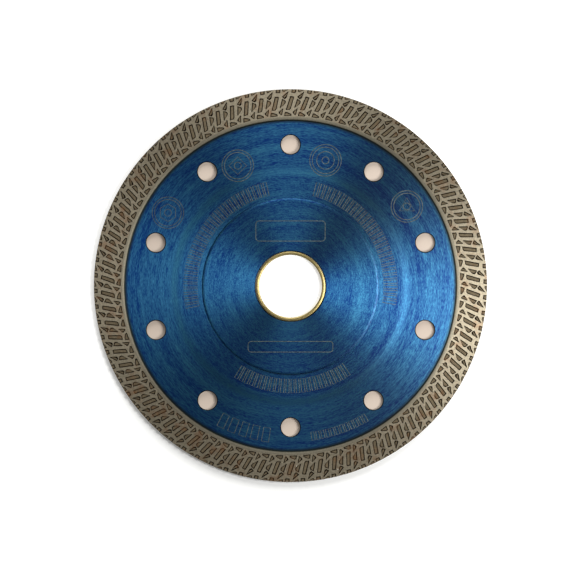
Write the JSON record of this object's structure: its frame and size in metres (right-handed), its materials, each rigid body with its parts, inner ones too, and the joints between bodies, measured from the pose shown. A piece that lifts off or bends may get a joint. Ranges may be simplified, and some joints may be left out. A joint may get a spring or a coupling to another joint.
{
  "type": "diamond blade",
  "caption": "Thin round tile-cutting blade: blue-coated vented steel core, mesh-patterned sintered diamond rim, stiffened hub and brass reducing bush.",
  "frame": {"origin": "centre of the bore in the plane of the rear clamping face, on which the blade lies", "axes": "+Z along the spindle axis out of the front face; +Y through a vent hole"},
  "size_m": [0.125, 0.125, 0.002],
  "materials": {
    "coated_steel": "translucent blue lacquer over circular-ground spring steel",
    "sintered_bond": "grey-beige hot-pressed metal bond, lands dressed, pockets dark and rough",
    "bronze_bond": "bronze-rich diamond-free bond, dull",
    "brass": "turned, bright"
  },
  "bodies": {
    "blade": {"steel_core": "coated_steel", "rim_foot": "bronze_bond", "diamond_rim": "sintered_bond", "front_stiffener_disc": "coated_steel", "rear_stiffener_disc": "coated_steel"},
    "bush": {"reducing_bush": "brass"}
  },
  "joints": [
    {"name": "bush_slide", "type": "slide", "parent": "blade", "child": "bush", "axis": [0, 0, 1], "range_m": [0, 0.006]}
  ]
}
